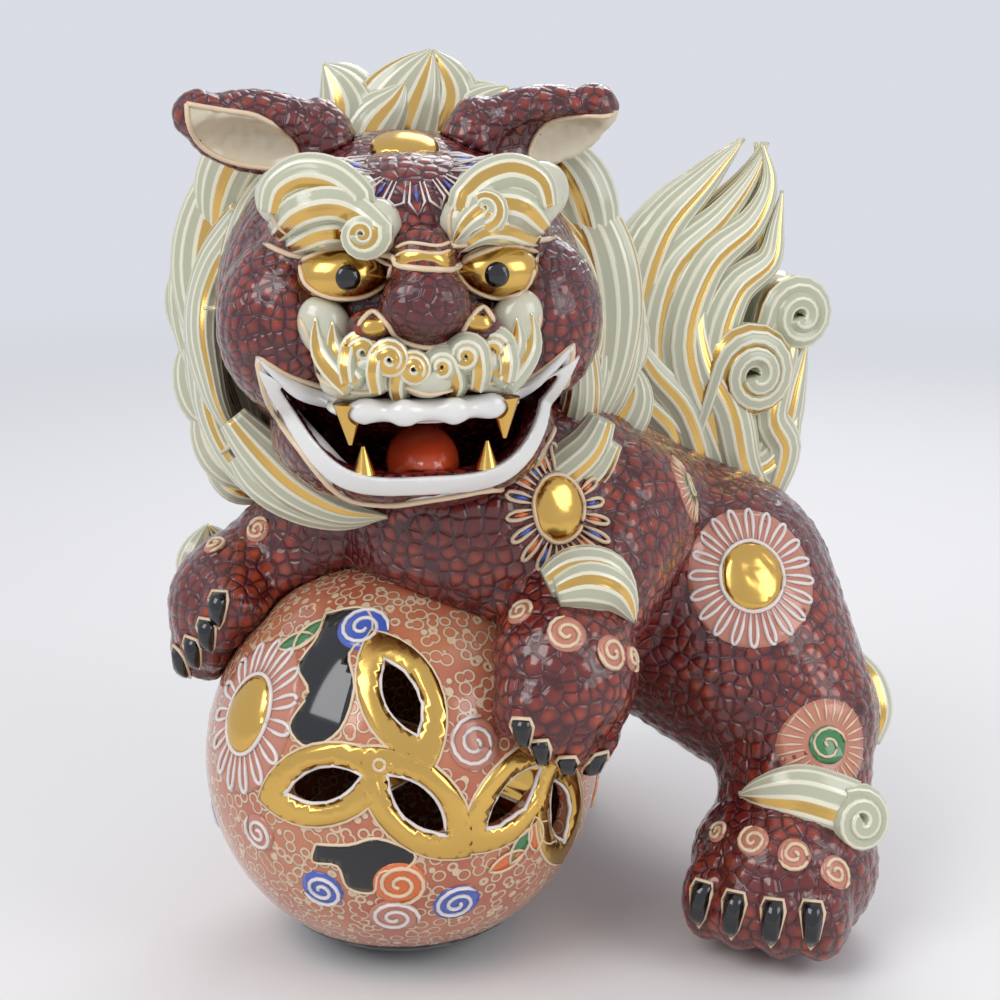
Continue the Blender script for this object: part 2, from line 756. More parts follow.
def patch(gathered, lay, outline, hole=None, lift=0.35, spacing=1.2, dome=0.0):
    """A thin raised patch with the outline, laid on a skin, open where the hole is."""
    outline = outline[:-1] if outline[0] == outline[-1] else outline
    hole = (hole[:-1] if hole and hole[0] == hole[-1] else hole) or []
    low_x, high_x = min(x for x, _ in outline), max(x for x, _ in outline)
    low_y, high_y = min(y for _, y in outline), max(y for _, y in outline)
    places = list(outline) + list(hole)
    edges = [(i, (i + 1) % len(outline)) for i in range(len(outline))]
    edges += [(len(outline) + i, len(outline) + (i + 1) % len(hole)) for i in range(len(hole))]
    steps_x = max(2, int((high_x - low_x) / spacing))
    steps_y = max(2, int((high_y - low_y) / spacing))
    for i in range(1, steps_x):
        for j in range(1, steps_y):
            spot = (low_x + (high_x - low_x) * i / steps_x, low_y + (high_y - low_y) * j / steps_y)
            if inside(spot, outline) and not (hole and inside(spot, hole)):
                places.append(spot)
    spots = [Vector(spot) for spot in places]
    flat, _, triangles, _, _, _ = delaunay_2d_cdt(spots, edges, [], 0, 1e-6)
    kept = []
    for triangle in triangles:
        middle = sum((flat[index] for index in triangle), Vector((0, 0))) / 3
        if inside(middle, outline) and not (hole and inside(middle, hole)):
            kept.append(list(triangle))
    centre_x, centre_y = (low_x + high_x) / 2, (low_y + high_y) / 2
    points = []
    for x, y in flat:
        reach_x = (x - centre_x) / max((high_x - low_x) / 2, 1e-6)
        reach_y = (y - centre_y) / max((high_y - low_y) / 2, 1e-6)
        bulge = dome * math.sqrt(max(0.0, 1 - min(1.0, reach_x ** 2 + reach_y ** 2)))
        points.append(lay(x, y, lift + bulge))
    under = [lay(x, y, -sunk) for x, y in flat]
    count = len(points)
    faces = kept + [[count + index for index in reversed(face)] for face in kept]
    sides = {}
    for face in kept:
        for a, b in zip(face, face[1:] + face[:1]):
            sides[(a, b)] = True
    for a, b in sides:
        if (b, a) not in sides:
            faces.append([b, a, count + a, count + b])
    gathered.add(points + under, faces)


# %% [markdown]
# A lock of hair is one ribbed section swept along a curve and drawn out to a tip. Its ribs are
# the cream lines, so its map counts the ribs across it, and a curl carries on into a spiral.
# Sweeping one section keeps the locks alike and their lines even, however they bend.

# %% Locks of hair
points_per_rib = 5
ribs_per_mm = 0.56
rib_height = 0.9
widest_share = 0.35
toward_viewer = Vector((0, -1, 0))


def curl_end(points, centre, turns, face, rise=2.0):
    """Carries a line on into a spiral about a centre, in the plane across the face direction."""
    start = points[-1] - centre
    start -= face * start.dot(face)
    heading = points[-1] - points[-2]
    second = face.cross(start).normalized()
    sense = 1 if second.dot(heading) > 0 else -1
    steps_per_turn, drawn_in = 16, 0.8
    total = int(turns * steps_per_turn)
    made = []
    for step in range(1, total + 1):
        share = step / total
        angle = 2 * math.pi * turns * share
        reach = start.length * (1 - drawn_in * share)
        spoke = start.normalized() * math.cos(angle) + second * sense * math.sin(angle)
        level = face * (points[-1] - centre).dot(face)
        made.append(centre + spoke * reach + level + face * rise * MM * share)
    return points + made


def lock(gathered, points, width, depth, face, tip=0.08, root=0.6, even=False):
    """A ribbed lock along a line of points, with its broad side to the face direction."""
    ribs = max(5, round((width + depth) * ribs_per_mm))
    around = ribs * points_per_rib
    count = len(points)
    lengths = [0.0]
    for a, b in zip(points, points[1:]):
        lengths.append(lengths[-1] + (b - a).length)
    rings = []
    for index, point in enumerate(points):
        along = (points[min(index + 1, count - 1)] - points[max(index - 1, 0)]).normalized()
        side = along.cross(face).normalized()
        out = side.cross(along).normalized()
        share = lengths[index] / lengths[-1]
        swell = root + (1 - root) * math.sin(min(share / widest_share, 1) * math.pi / 2)
        past = max(share - widest_share, 0) / (1 - widest_share)
        taper = 1 if even else max(math.cos(past * math.pi / 2), 0) ** 0.8
        size = max(swell * taper, tip)
        for step in range(around):
            angle = 2 * math.pi * step / around
            ridge = rib_height if step % points_per_rib == 0 else 0
            reach = 1 + ridge / width
            across = math.cos(angle) * width / 2 * reach
            over = math.sin(angle) * depth / 2 * reach
            rings.append(point + (side * across + out * over) * size * MM)
    faces = []
    charts = []
    for index in range(count - 1):
        for step in range(around):
            beside = (step + 1) % around
            low = index * around
            faces.append((low + step, low + around + step, low + around + beside, low + beside))
            a, b = step / points_per_rib, (step + 1) / points_per_rib
            u, v = lengths[index], lengths[index + 1]
            charts.append([(a, u), (a, v), (b, v), (b, u)])
    faces.append(tuple(range(around)))
    charts.append([(0.25, 0)] * around)
    faces.append(tuple(reversed(range((count - 1) * around, count * around))))
    charts.append([(0.25, 1)] * around)
    gathered.add(rings, faces, charts)


def front_lock(gathered, places, depth_behind, width, depth, face=toward_viewer):
    """A lock given by where it is seen, all at one depth behind the ball's axis."""
    points = smooth_line([front(x, y, depth_behind) for x, y in places])
    lock(gathered, points, width, depth, face)


# %% [markdown]
# The mane falls beside the face in overlapping wavy locks with flicked ends. They are laid out
# in the view, each at its own depth, so their outline is the one seen from the front.

# %% Mane beside the face
mane = Gathered()
lock_depth = 9
left_side = (
    ([(268, 135), (238, 165), (222, 205), (216, 250)], 10, 17),
    ([(258, 160), (226, 200), (212, 265), (222, 335), (242, 400), (262, 452)], 12, 20),
    ([(250, 190), (218, 240), (204, 300), (212, 370), (232, 430)], 17, 18),
    ([(244, 235), (224, 225), (215, 200), (222, 168)], 16, 13),
    ([(238, 345), (206, 325), (188, 295), (183, 255)], 20, 15),
    ([(236, 300), (204, 285), (190, 262), (197, 236)], 24, 12),
    ([(240, 420), (211, 400), (197, 365), (197, 325)], 20, 15),
    ([(258, 478), (228, 455), (210, 425), (206, 392)], 20, 14),
    ([(262, 492), (236, 478), (222, 462), (215, 440)], 24, 12),
)
right_side = (
    ([(548, 150), (572, 178), (590, 225), (598, 285)], 12, 17),
    ([(556, 190), (588, 235), (602, 300), (600, 365), (586, 420), (566, 452)], 12, 20),
    ([(565, 230), (600, 280), (612, 340), (606, 400), (585, 440)], 17, 18),
    ([(566, 225), (584, 222), (596, 205), (592, 178)], 17, 12),
    ([(580, 300), (604, 290), (613, 262), (606, 236)], 20, 13),
    ([(590, 372), (617, 355), (625, 322), (616, 290)], 22, 14),
    ([(584, 440), (614, 425), (632, 395), (630, 360)], 22, 14),
)
for places, depth_behind, width in left_side + right_side:
    front_lock(mane, places, depth_behind, width, lock_depth)
mane.piece("mane_sides", hair_glaze, "hair_glaze", "left_mane_fall", "right_mane_fall",
           "left_upper_flick", "left_lower_flick", "right_upper_flick", "right_lower_flick")

# %% [markdown]
# Behind the head the mane is a bulky cape of locks in three tiers, like tiles on a roof. It
# isn't seen from the front, so it repeats the locks of the sides over an oval mass that is
# turned with the head.

# %% Mane behind the head
head_heading = math.radians(9)
head_middle = at(2, -8, 160)
head_turn = Matrix.Rotation(head_heading, 3, "Z")
mane_middle = head_middle + head_turn @ (Vector((0, 16, -6)) * MM)
mane_radii = Vector((45, 31, 47))


def mane_point(around, down, swell=1.0):
    """A point on the bulk of the mane: around from straight back, and down from its top."""
    a, d = math.radians(around), math.radians(down)
    out = Vector((math.sin(a) * math.sin(d), math.cos(a) * math.sin(d), math.cos(d)))
    place = Vector((out.x * mane_radii.x, out.y * mane_radii.y, out.z * mane_radii.z)) * swell * MM
    return mane_middle + head_turn @ place, (head_turn @ out).normalized()


mane_back = Gathered()
tiers = ((8, 78, 9, 19), (52, 118, 10, 19), (92, 150, 9, 18))
half_cape, tier_shift, sway_angle, tip_lift = 98, 6, 9, 5
for tier, (first, last, count, width) in enumerate(tiers):
    for index in range(count):
        around = -half_cape + 2 * half_cape * index / (count - 1) + tier * tier_shift
        line = []
        for step in range(6):
            share = step / 5
            sway = sway_angle * math.sin(share * math.pi * 1.6 + index)
            down = first + (last - first) * share
            line.append(mane_point(around + sway, down, 1 + 0.05 * tier)[0])
        face = mane_point(around, (first + last) / 2)[1]
        heading = (line[-1] - line[-2]).normalized()
        line.append(line[-1] + heading * tip_lift * MM + face * tip_lift * MM)
        lock(mane_back, smooth_line(line), width, 10, face)
mane_back.piece("mane_back_locks", hair_glaze, "hair_glaze", "mane_back")

# %% [markdown]
# Flames of hair stand up between the ears, drawn to a few shared tips. Each of their seven
# locks is laid twice, one behind the other, so that the crest has a body and isn't a single
# sheet.

# %% Crest
crest = Gathered()
flames = (
    ([(385, 165), (395, 120), (412, 85), (432, 50)], 10, 22),
    ([(420, 160), (440, 120), (448, 90), (432, 50)], 13, 18),
    ([(360, 170), (372, 130), (395, 100), (405, 82)], 7, 16),
    ([(330, 150), (345, 115), (340, 90), (324, 64)], 8, 15),
    ([(350, 150), (360, 120), (350, 85), (324, 64)], 12, 13),
    ([(450, 165), (470, 130), (488, 105), (508, 87)], 12, 18),
    ([(430, 150), (455, 115), (480, 100), (506, 88)], 16, 15),
)
for places, depth_behind, width in flames:
    for layer in (0, 1):
        front_lock(crest, places, depth_behind + layer * lock_depth, width, lock_depth)
crest.piece("crest", hair_glaze, "hair_glaze", "middle_crest_flame", "left_crest_flame",
            "right_crest_flame")

# %% [markdown]
# Two pairs of locks sweep down from the cheeks towards the chin as a beard. They face a little
# sideways, because they wrap the jaw.

# %% Beard
beard = Gathered()
beard_locks = (
    ([(232, 418), (262, 452), (300, 488), (345, 512), (388, 517)], -16, 12, 10, -0.4),
    ([(238, 455), (262, 482), (300, 505), (340, 520), (372, 523)], -12, 9, 9, -0.4),
    ([(602, 418), (585, 448), (550, 478), (520, 500), (488, 507)], -12, 11, 10, 0.4),
    ([(612, 440), (590, 470), (560, 492), (525, 508)], -8, 9, 9, 0.4),
)
for places, depth_behind, width, depth, aside in beard_locks:
    front_lock(beard, places, depth_behind, width, depth, Vector((aside, -1, 0)))
beard.piece("beard", hair_glaze, "hair_glaze", "left_beard", "right_beard")

# %% [markdown]
# The tail stands up as a flat flame of wavy locks with rolled curls on both faces. The locks
# are laid out in the plane of the tail, in two layers that close up towards the tip, so that
# it reads from front and back and has a fine edge.

# %% Tail
tail_foot_height = 96
tail_foot = at(89.3, 62.5, tail_foot_height)
tail_turn = Matrix.Rotation(math.radians(20), 3, "Z")
tail_along = tail_turn @ Vector((1, 0, 0))
tail_face = tail_turn @ Vector((0, -1, 0))


def on_tail(along, height, toward=0.0):
    """A point in the plane of the tail: along it, above the floor, and towards its front."""
    rise = Vector((0, 0, (height - tail_foot_height) * MM))
    return tail_foot + (tail_along * along + tail_face * toward) * MM + rise


tail = Gathered()
tail_locks = (
    ([(-2, 98), (-17, 120), (-27, 143), (-22, 166), (-6, 180), (4, 191), (9, 200)], 17, 1),
    ([(0, 98), (-11, 122), (-19, 146), (-11, 167), (3, 178), (9, 189), (7, 200)], 16, 4),
    ([(-8, 104), (-26, 128), (-35, 146), (-35, 158), (-38, 168)], 15, -1),
    ([(-20, 138), (-30, 156), (-24, 176), (-10, 190), (2, 201)], 15, -1),
    ([(-26, 150), (-30, 168), (-20, 184), (-12, 193)], 13, -2),
    ([(2, 98), (-4, 124), (-9, 144), (-3, 160), (8, 168), (11, 178), (13, 187)], 15, 5),
    ([(3, 98), (7, 112), (13, 124), (17, 134), (22, 145)], 16, 1),
    ([(-10, 104), (-18, 128), (-28, 140), (-33, 150), (-30, 160)], 13, 4),
    ([(6, 100), (-2, 112), (-6, 128), (-13, 142), (-14, 156), (-6, 168)], 14, 6),
    ([(8, 102), (12, 116), (8, 126), (14, 140), (18, 150)], 12, 4),
    ([(-6, 98), (0, 108), (8, 112), (15, 120), (18, 130)], 12, 3),
    ([(-16, 112), (-22, 124), (-32, 134), (-36, 143)], 12, 2),
)
half_tail = 5
for side in (1, -1):
    for places, width, toward in tail_locks:
        points = []
        for x, z in places:
            closing = 1.1 - (z - 98) / 115
            points.append(on_tail(x, z, (half_tail + toward) * side * closing))
        lock(tail, smooth_line(points), width, 11, tail_face * side)
    for x, z, size, toward in ((1, 138, 12.5, 10), (17, 153, 10, 6)):
        steps = ((-1.4, -1.6), (-1, -0.3), (-0.85, 0.2))
        start = [on_tail(x + a * size, z + b * size, toward * side) for a, b in steps]
        middle = on_tail(x, z, toward * side)
        points = curl_end(smooth_line(start), middle, 1.9, tail_face * side)
        lock(tail, points, size * 0.62, size * 0.7, tail_face * side, tip=0.45, even=True)
tail.piece("tail", hair_glaze, "hair_glaze", "tail_plume", "tail_flame",
           "tail_front_large_curl", "tail_back_large_curl", "tail_small_curl")

# %% [markdown]
# The ball is a thin pierced shell. Its skin is remeshed finely and softened only a little, so
# the five openings and the wall inside them stay sharp. It keeps all its shells, inside too.

# %% Ball
ball_skin = skin("ball_skin", ("ball_shell",), voxel=0.9, rounds=3, solid=False)
settle(ball_skin, ball_glaze, "ball_glaze", "ball_shell")
ball_tree = tree_of(ball_skin)

# %% [markdown]
# The ball is covered with gold petals whose openings are cut through the wall, daisies with
# gold hearts, dark cloud fields and little coloured spirals. Each is drawn on a board laid on
# the ball, as a thin raised patch with a trailed outline.

# %% Ornament of the ball
def ball_board(around, up, turn=0.0):
    """A drawing board lying on the ball, around from the front and up from its middle."""
    a, e = math.radians(around), math.radians(up)
    out = Vector((math.sin(a) * math.cos(e), -math.cos(a) * math.cos(e), math.sin(e)))
    return board(ball_tree, ball_middle + out * ball_radius, out, turn)


def vesica(length, width, steps=12):
    """Places round a pointed oval of two arcs."""
    radius = (length ** 2 + width ** 2) / (4 * width)
    half = math.asin(length / 2 / radius)
    places = []
    for sign in (1, -1):
        for step in range(steps):
            angle = -half + 2 * half * step / steps
            x = radius * math.sin(angle)
            y = radius * math.cos(angle) - (radius - width / 2)
            places.append((sign * x, sign * y))
    return places + [places[0]]


gold = Gathered()
cream = Gathered()
white = Gathered()
dark = Gathered()
blue = Gathered()
orange = Gathered()
green = Gathered()
pink = Gathered()


def draw(gathered, lay, places, radius=0.45, lift=0.2):
    """A trailed line through places of a drawing board."""
    tube(gathered, [lay(x, y, lift) for x, y in places], radius)


piercings = ((3.0, 35.0, 112.0), (-19.0, 10.5, 19.0), (7.0, 6.0, -48.0), (35.0, 4.5, 36.0),
             (53.0, -5.0, 110.0))
petal, petal_hole = vesica(36, 18.4), vesica(21, 9.6)
petal_line, hole_line = vesica(36.6, 19), vesica(20.5, 9.2)
for around, up, turn in piercings:
    lay = ball_board(around, up, turn)
    patch(gold, lay, petal, petal_hole, lift=0.7, spacing=1.6)
    draw(cream, lay, petal_line, 0.45)
    draw(white, lay, hole_line, 0.55, 0.4)
draw(cream, ball_board(-3, 17), ring(1.3, steps=10), 0.4, 1.0)


# %% [markdown]
# Daisies are ringed gold hearts with looped petals, and roundels are small coloured discs with
# a spiral on them. Both recur all over ball and body, so each is drawn by one function.

# %% Daisies and roundels
def daisy(lay, heart, petals, petal_length, line, ground=None, heart_tall=1.0, fills=()):
    """A daisy of looped petals round a domed gold heart; fills colour the petals in turn."""
    reach = heart + petal_length
    if ground:
        patch(ground, lay, ring(reach + 1, (reach + 1) * heart_tall), lift=0.25, spacing=2.2)
    patch(gold, lay, ring(heart, heart * heart_tall), lift=0.5, spacing=1.2, dome=1.6)
    draw(line, lay, ring(heart + 0.3, (heart + 0.3) * heart_tall), 0.55, 0.5)
    for index in range(petals):
        angle = 2 * math.pi * index / petals
        spread = math.pi / petals * 0.86
        loop = []
        for step in range(13):
            share = step / 12
            side = (share * 2 - 1) * spread * (0.55 + 0.45 * math.sin(share * math.pi))
            out = heart + 0.8 + petal_length * math.sin(share * math.pi) ** 0.6
            loop.append((out * math.cos(angle + side), out * heart_tall * math.sin(angle + side)))
        draw(line, lay, loop, 0.5, 0.45)
        if fills:
            reaches = (heart + petal_length * share for share in (0.3, 0.6, 0.85))
            stroke = [(out * math.cos(angle), out * heart_tall * math.sin(angle))
                      for out in reaches]
            draw(fills[index % len(fills)], lay, stroke, 0.7, 0.1)


def roundel(lay, radius, ground, line, start=0.0, turns=2.0):
    """A little coloured disc with a trailed spiral on it."""
    patch(ground, lay, ring(radius), lift=0.4, spacing=1.6)
    draw(line, lay, spiral(radius, turns, start), 0.5, 0.6)


for around, up, tall in ((-50, 24, 1.25), (120, 15, 1.0), (-150, 10, 1.0)):
    daisy(ball_board(around, up), 7.5, 15, 6.5, white, pink, tall)
roundels = (
    (-15, 55, 6.2, blue), (24, 21, 6.2, pink), (-40, -7, 4.6, pink), (-21, -21, 5.2, blue),
    (2, -17, 6.2, orange), (0, -30, 6.0, pink), (19, -26, 5.6, blue), (78, 12, 6, blue),
    (92, -12, 6, orange), (150, -8, 6, blue), (170, 25, 6, pink), (-100, 5, 6, orange),
    (-85, -18, 5, blue), (-120, -20, 5.5, pink), (140, 38, 6, orange),
)
for index, (around, up, size, ground) in enumerate(roundels):
    line = white if ground in (blue, pink) else cream
    roundel(ball_board(around, up), size, ground, line, index * 67)

# %% [markdown]
# Dark clouds and small pointed leaves fill what is left between the petals. The clouds have
# free outlines, so a few places are smoothed into a curve. A dark ring lies round the ball's
# foot, where it meets what it stands on.

# %% Clouds and leaves
far_cloud = [(-9, 5), (-3, 8), (4, 6), (10, 2), (6, -3), (0, -2), (-4, -6), (-9, -4)]
clouds = (
    (-24, 41, [(-7, 15), (2, 18), (7, 12), (4, 5), (8, -3), (7, -13), (0, -18), (-6, -14),
               (-3, -6), (-8, 0), (-6, 8)]),
    (-8, -12, [(-11, 5), (-3, 6), (4, 8), (12, 4), (10, 0), (4, -1), (2, -7), (-4, -6),
               (-6, 0), (-12, 0)]),
    (100, 30, far_cloud),
    (-130, 30, far_cloud),
)
for around, up, outline in clouds:
    outline = smooth_places(outline + [outline[0]])
    lay = ball_board(around, up)
    patch(dark, lay, outline, lift=0.35, spacing=1.8)
    draw(cream, lay, outline, 0.4)
patch(dark, ball_board(0, -89.9), ring(31), ring(14), lift=0.2, spacing=3)
leaves = ((-44, 47, 35, green), (-40, 50, 75, green), (37, -10, 60, green),
          (42, -8, 100, orange), (47, -9, 130, orange), (33, -14, 20, orange))
leaf = vesica(10, 4.6, 6)
for around, up, turn, colour in leaves:
    lay = ball_board(around, up, turn)
    patch(colour, lay, leaf, lift=0.4, spacing=1.6)
    draw(cream, lay, leaf, 0.35, 0.5)

# %% [markdown]
# On the body there are daisies and green eyes on breast and haunch, and spirals over the toes.
# Each is placed where it is seen from the front. The far side isn't seen there, and is plain.

# %% Ornament of the body
body_tree = tree_of(body_skin)
daisy(seen_board(body_tree, 560, 508), 6.2, 18, 5.6, cream, None, 1.25, (blue, orange))
daisy(seen_board(body_tree, 752, 576), 8.0, 20, 7.6, white, pink, 1.12)


def medallion(lay, radius):
    """A green eye with a spiral in a ring of cream spokes."""
    patch(pink, lay, ring(radius), lift=0.25, spacing=2.2)
    patch(green, lay, ring(radius * 0.42), lift=0.45, spacing=1.5)
    draw(cream, lay, spiral(radius * 0.42, 1.6), 0.4, 0.6)
    spokes = 26
    for index in range(spokes):
        angle = 2 * math.pi * index / spokes
        reaches = (radius * share for share in (0.52, 0.76, 1.0))
        spoke = [(reach * math.cos(angle), reach * math.sin(angle)) for reach in reaches]
        draw(cream, lay, spoke, 0.35, 0.4)


medallion(seen_board(body_tree, 828, 745), 11.5)
medallion(seen_board(body_tree, 690, 487), 9.0)
toe_spirals = ((520, 612, 3.4), (567, 634, 4.4), (612, 653, 4.2), (632, 658, 3.0),
               (215, 545, 3.0), (258, 530, 3.4), (753, 841, 3.8), (794, 855, 4.0),
               (835, 873, 4.2), (718, 832, 2.8))
for index, (across, down, size) in enumerate(toe_spirals):
    roundel(seen_board(body_tree, across, down), size, pink, cream, index * 80, 1.7)

# %% [markdown]
# The claws are drops of black glaze in cream outlines, one to each toe. The construction model
# says where they are; each is laid there as a domed patch, facing the way that the toe's skin
# faces on average, because the scales make any one face of it uneven.

# %% Claws
def loose_middles(node_name):
    """The middles of the separate solids of a construction node."""
    bpy.ops.object.select_all(action="DESELECT")
    bpy.context.view_layer.objects.active = copy_casting(node_name)
    merge_points()
    middles = []
    for part in split_loose():
        corners = part.data.vertices
        middles.append(sum((corner.co for corner in corners), Vector()) / len(corners))
        bpy.data.objects.remove(part)
    return middles


claw_nodes = ("left_forepaw_claws", "right_forepaw_claws", "left_hind_claws", "right_hind_claws")
toe_reach = 5 * MM
claws = Gathered()
for node_name in claw_nodes:
    width, height = (5.4, 11.5) if "hind" in node_name else (4.8, 9.0)
    for middle in loose_middles(node_name):
        place, _, _, _ = body_tree.find_nearest(middle)
        around = body_tree.find_nearest_range(place, toe_reach)
        out = sum((normal for _, normal, _, _ in around), Vector()).normalized()
        lay = board(body_tree, place, out)
        shares = ((-0.5, 0.3), (-0.4, 0.5), (0.4, 0.5), (0.5, 0.3),
                  (0.28, -0.25), (0, -0.5), (-0.28, -0.25))
        outline = [(width * x, height * y) for x, y in shares]
        patch(claws, lay, outline, lift=0.5, spacing=1.4, dome=1.8)
        draw(cream, lay, outline + [outline[0]], 0.5, 0.4)
claws.piece("claws", black_glaze, "claw_glaze", *claw_nodes)

# %% [markdown]
# The face. Gold eyes with black pupils sit under celadon brows; the moustache is rolled in
# scrolls; white lips frame the open mouth, with gold fangs and a red tongue. These castings
# are small and crisp, so they are remeshed finely; only the teeth are softened a lot, since
# they are one modelled strip under thick glaze.

# %% Face pieces from the castings
celadon = plain_material("celadon", (0.6, 0.59, 0.46), 0.2, coat=0.5)


def face_skin(node_name, piece_name, rounds, material, slot, voxel=0.5):
    """A finished skin over one small casting of the face."""
    return settle(skin(piece_name, (node_name,), voxel, rounds), material, slot, node_name)


moustache_skin = face_skin("moustache", "moustache_skin", 8, celadon, "hair_glaze")
brow_skins = [face_skin(name, name + "_skin", 8, celadon, "hair_glaze")
              for name in ("left_brow", "right_brow")]
face_skin("tongue", "tongue_skin", 6, red_glaze, "red_glaze")
teeth_skin = face_skin("upper_teeth", "teeth_skin", 50, white_glaze, "white_glaze", voxel=0.7)
rim_skin = face_skin("mouth_rim", "rim_skin", 3, white_glaze, "white_glaze")
eye_skins = [face_skin(name, name + "_skin", 6, gilding, "gilding")
             for name in ("left_eye", "right_eye")]
crown_skin = face_skin("crown_disc", "crown_skin", 4, gilding, "gilding")
face_tree = tree_of(head_skin, moustache_skin, *brow_skins, *eye_skins, crown_skin, rim_skin,
                    teeth_skin)
ear_tree = tree_of(left_ear_skin, right_ear_skin)


def trail(gathered, tree, places, radius=0.45, lift=0.15):
    """A trailed line through places of the view, laid on what is seen there."""
    tube(gathered, seen_line(tree, smooth_places(places), lift), radius)


# %% [markdown]
# The eyes are gilt balls with a black pupil inside trailed lids. The lids are lines laid on
# whatever is seen there, so they ride from the eye over the skin in one sweep.

# %% Eyes
for across, down in ((348, 278), (497, 275)):
    lay = seen_board(face_tree, across, down)
    patch(dark, lay, ring(2.6), lift=0.35, spacing=0.9, dome=0.5)
lid_lines = (
    ([(300, 262), (330, 250), (362, 252), (392, 266)], 0.6),
    ([(300, 264), (306, 284), (330, 297), (362, 297), (385, 284), (392, 266)], 0.5),
    ([(455, 266), (480, 250), (512, 246), (538, 252)], 0.6),
    ([(455, 268), (470, 288), (498, 298), (525, 290), (538, 254)], 0.5),
    ([(264, 244), (300, 256), (340, 248), (390, 256), (400, 266), (450, 270), (470, 258),
      (510, 244), (556, 238)], 0.7),
)
for places, radius in lid_lines:
    trail(cream, face_tree, places, radius)

# %% [markdown]
# Brows and moustache are built of little scrolls of clay. A trailed line goes round each brow
# first, and ribbed locks are then laid on the castings, with their ends rolled towards the
# viewer, in a glaze whose gilt strands lie closer than in the mane.

# %% Brow and moustache locks
brow_outlines = (
    [(268, 195), (282, 176), (310, 176), (340, 190), (370, 208), (390, 232), (384, 254),
     (340, 248), (300, 240), (276, 222), (268, 195)],
    [(452, 246), (450, 215), (466, 192), (495, 176), (525, 178), (544, 196), (540, 216),
     (515, 228), (480, 242), (452, 246)],
)
for places in brow_outlines:
    trail(cream, face_tree, places, 0.55)
face_hair = Gathered()


def face_lock(places, width, depth, curl=None, turns=1.5, **shape):
    """A ribbed lock laid on the face along places of the view, rolled about a place or not."""
    lift = 0.6
    points = smooth_line(seen_line(face_tree, places, lift))
    if curl:
        centre = seen(face_tree, *curl)[0] + toward_viewer * lift * MM
        points = curl_end(points, centre, turns, toward_viewer, 1.2)
        shape.setdefault("tip", 0.45)
    lock(face_hair, points, width, depth, toward_viewer, **shape)


brow_locks = (
    ([(272, 212), (279, 190), (303, 177), (332, 181), (354, 197)], 8.5, (338, 204)),
    ([(280, 232), (300, 212), (330, 205), (358, 214), (378, 230)], 8, (363, 233)),
    ([(294, 244), (320, 230), (346, 229), (370, 238), (389, 251)], 7, None),
    ([(544, 207), (536, 185), (512, 176), (487, 184), (468, 201)], 8.5, (484, 207)),
    ([(541, 226), (519, 209), (490, 208), (467, 223), (454, 243)], 8, None),
    ([(533, 238), (508, 228), (480, 233), (459, 250)], 6.5, None),
)
brow_lock_depth = 5
for places, width, curl in brow_locks:
    face_lock(places, width, brow_lock_depth, curl)
side_whiskers = (
    [(352, 388), (322, 350), (316, 318)],
    [(362, 382), (338, 350), (332, 322)],
    [(504, 384), (528, 346), (531, 313)],
    [(494, 380), (514, 346), (517, 318)],
)
for places in side_whiskers:
    face_lock(places, 5.5, 4, root=0.8)
scrolls = ((363, 352, 1), (390, 358, 1), (414, 368, 1), (442, 366, -1), (466, 355, -1),
           (492, 350, -1))
for across, down, way in scrolls:
    start = [(across - 13 * way, down + 30), (across - 15 * way, down + 14),
             (across - 12 * way, down - 2)]
    face_lock(start, 4.2, 4.2, (across, down), 1.6, even=True, root=0.8)
face_hair.piece("face_hair", face_hair_glaze, "hair_glaze")
moustache_line = [(300, 318), (312, 345), (322, 380), (360, 392), (400, 386), (430, 394),
                  (470, 384), (510, 378), (532, 345), (540, 314)]
trail(cream, face_tree, moustache_line, 0.5)

# %% [markdown]
# The nose is outlined in cream, with gilt nostrils and a small gilt plate above it. It is
# drawn on the head's own skin, since it stands out only a little.

# %% Nose
nose_line = [(358, 326), (372, 312), (386, 322), (400, 340), (430, 348), (458, 338), (470, 318),
             (484, 308), (494, 322)]
trail(cream, face_tree, nose_line, 0.6)
for across, down in ((374, 326), (479, 322)):
    patch(gold, seen_board(face_tree, across, down), ring(2.6, 1.8), lift=0.3, spacing=1.0)
plate = [(-6, 2.6), (6, 2.6), (5, -2.6), (-5, -2.6)]
patch(gold, seen_board(face_tree, 423, 255), plate, lift=0.4, spacing=1.5)
bridge_line = ((396, 248), (410, 243), (436, 246), (450, 242))
for offset in (0, 8):
    trail(cream, face_tree, [(x, y + offset) for x, y in bridge_line], 0.4)

# %% [markdown]
# Between the ears a gilt disc is set in a fan of white petals with blue strokes. The petals
# show only in front of the disc, so the fan covers two thirds of a turn.

# %% Crown
crown_lay = seen_board(face_tree, 410, 160)
crown_petals = 15
fan_start, fan_sweep = 150, 240
spread, wide = 0.1, 1.15


def crown_places(angle, steps):
    """Places on the crown's board, each a reach and a turn from the angle."""
    return [(reach * math.cos(angle + turn) * wide, reach * math.sin(angle + turn))
            for reach, turn in steps]


for index in range(crown_petals):
    angle = math.radians(fan_start + fan_sweep * index / (crown_petals - 1))
    loop = ((8.5, -spread), (13, -spread * 1.1), (15.5, 0), (13, spread * 1.1), (8.5, spread))
    draw(white, crown_lay, crown_places(angle, loop), 0.32, 0.3)
    if index % 2:
        draw(blue, crown_lay, crown_places(angle, ((9.5, 0), (11.5, 0), (13, 0))), 0.45, 0.2)

# %% [markdown]
# The lips are thick white rolls between the skin and the mouth's opening. Their outer edge is
# laid on the head and their inner edge stands free in the view, so each is swept between two
# drawn lines.

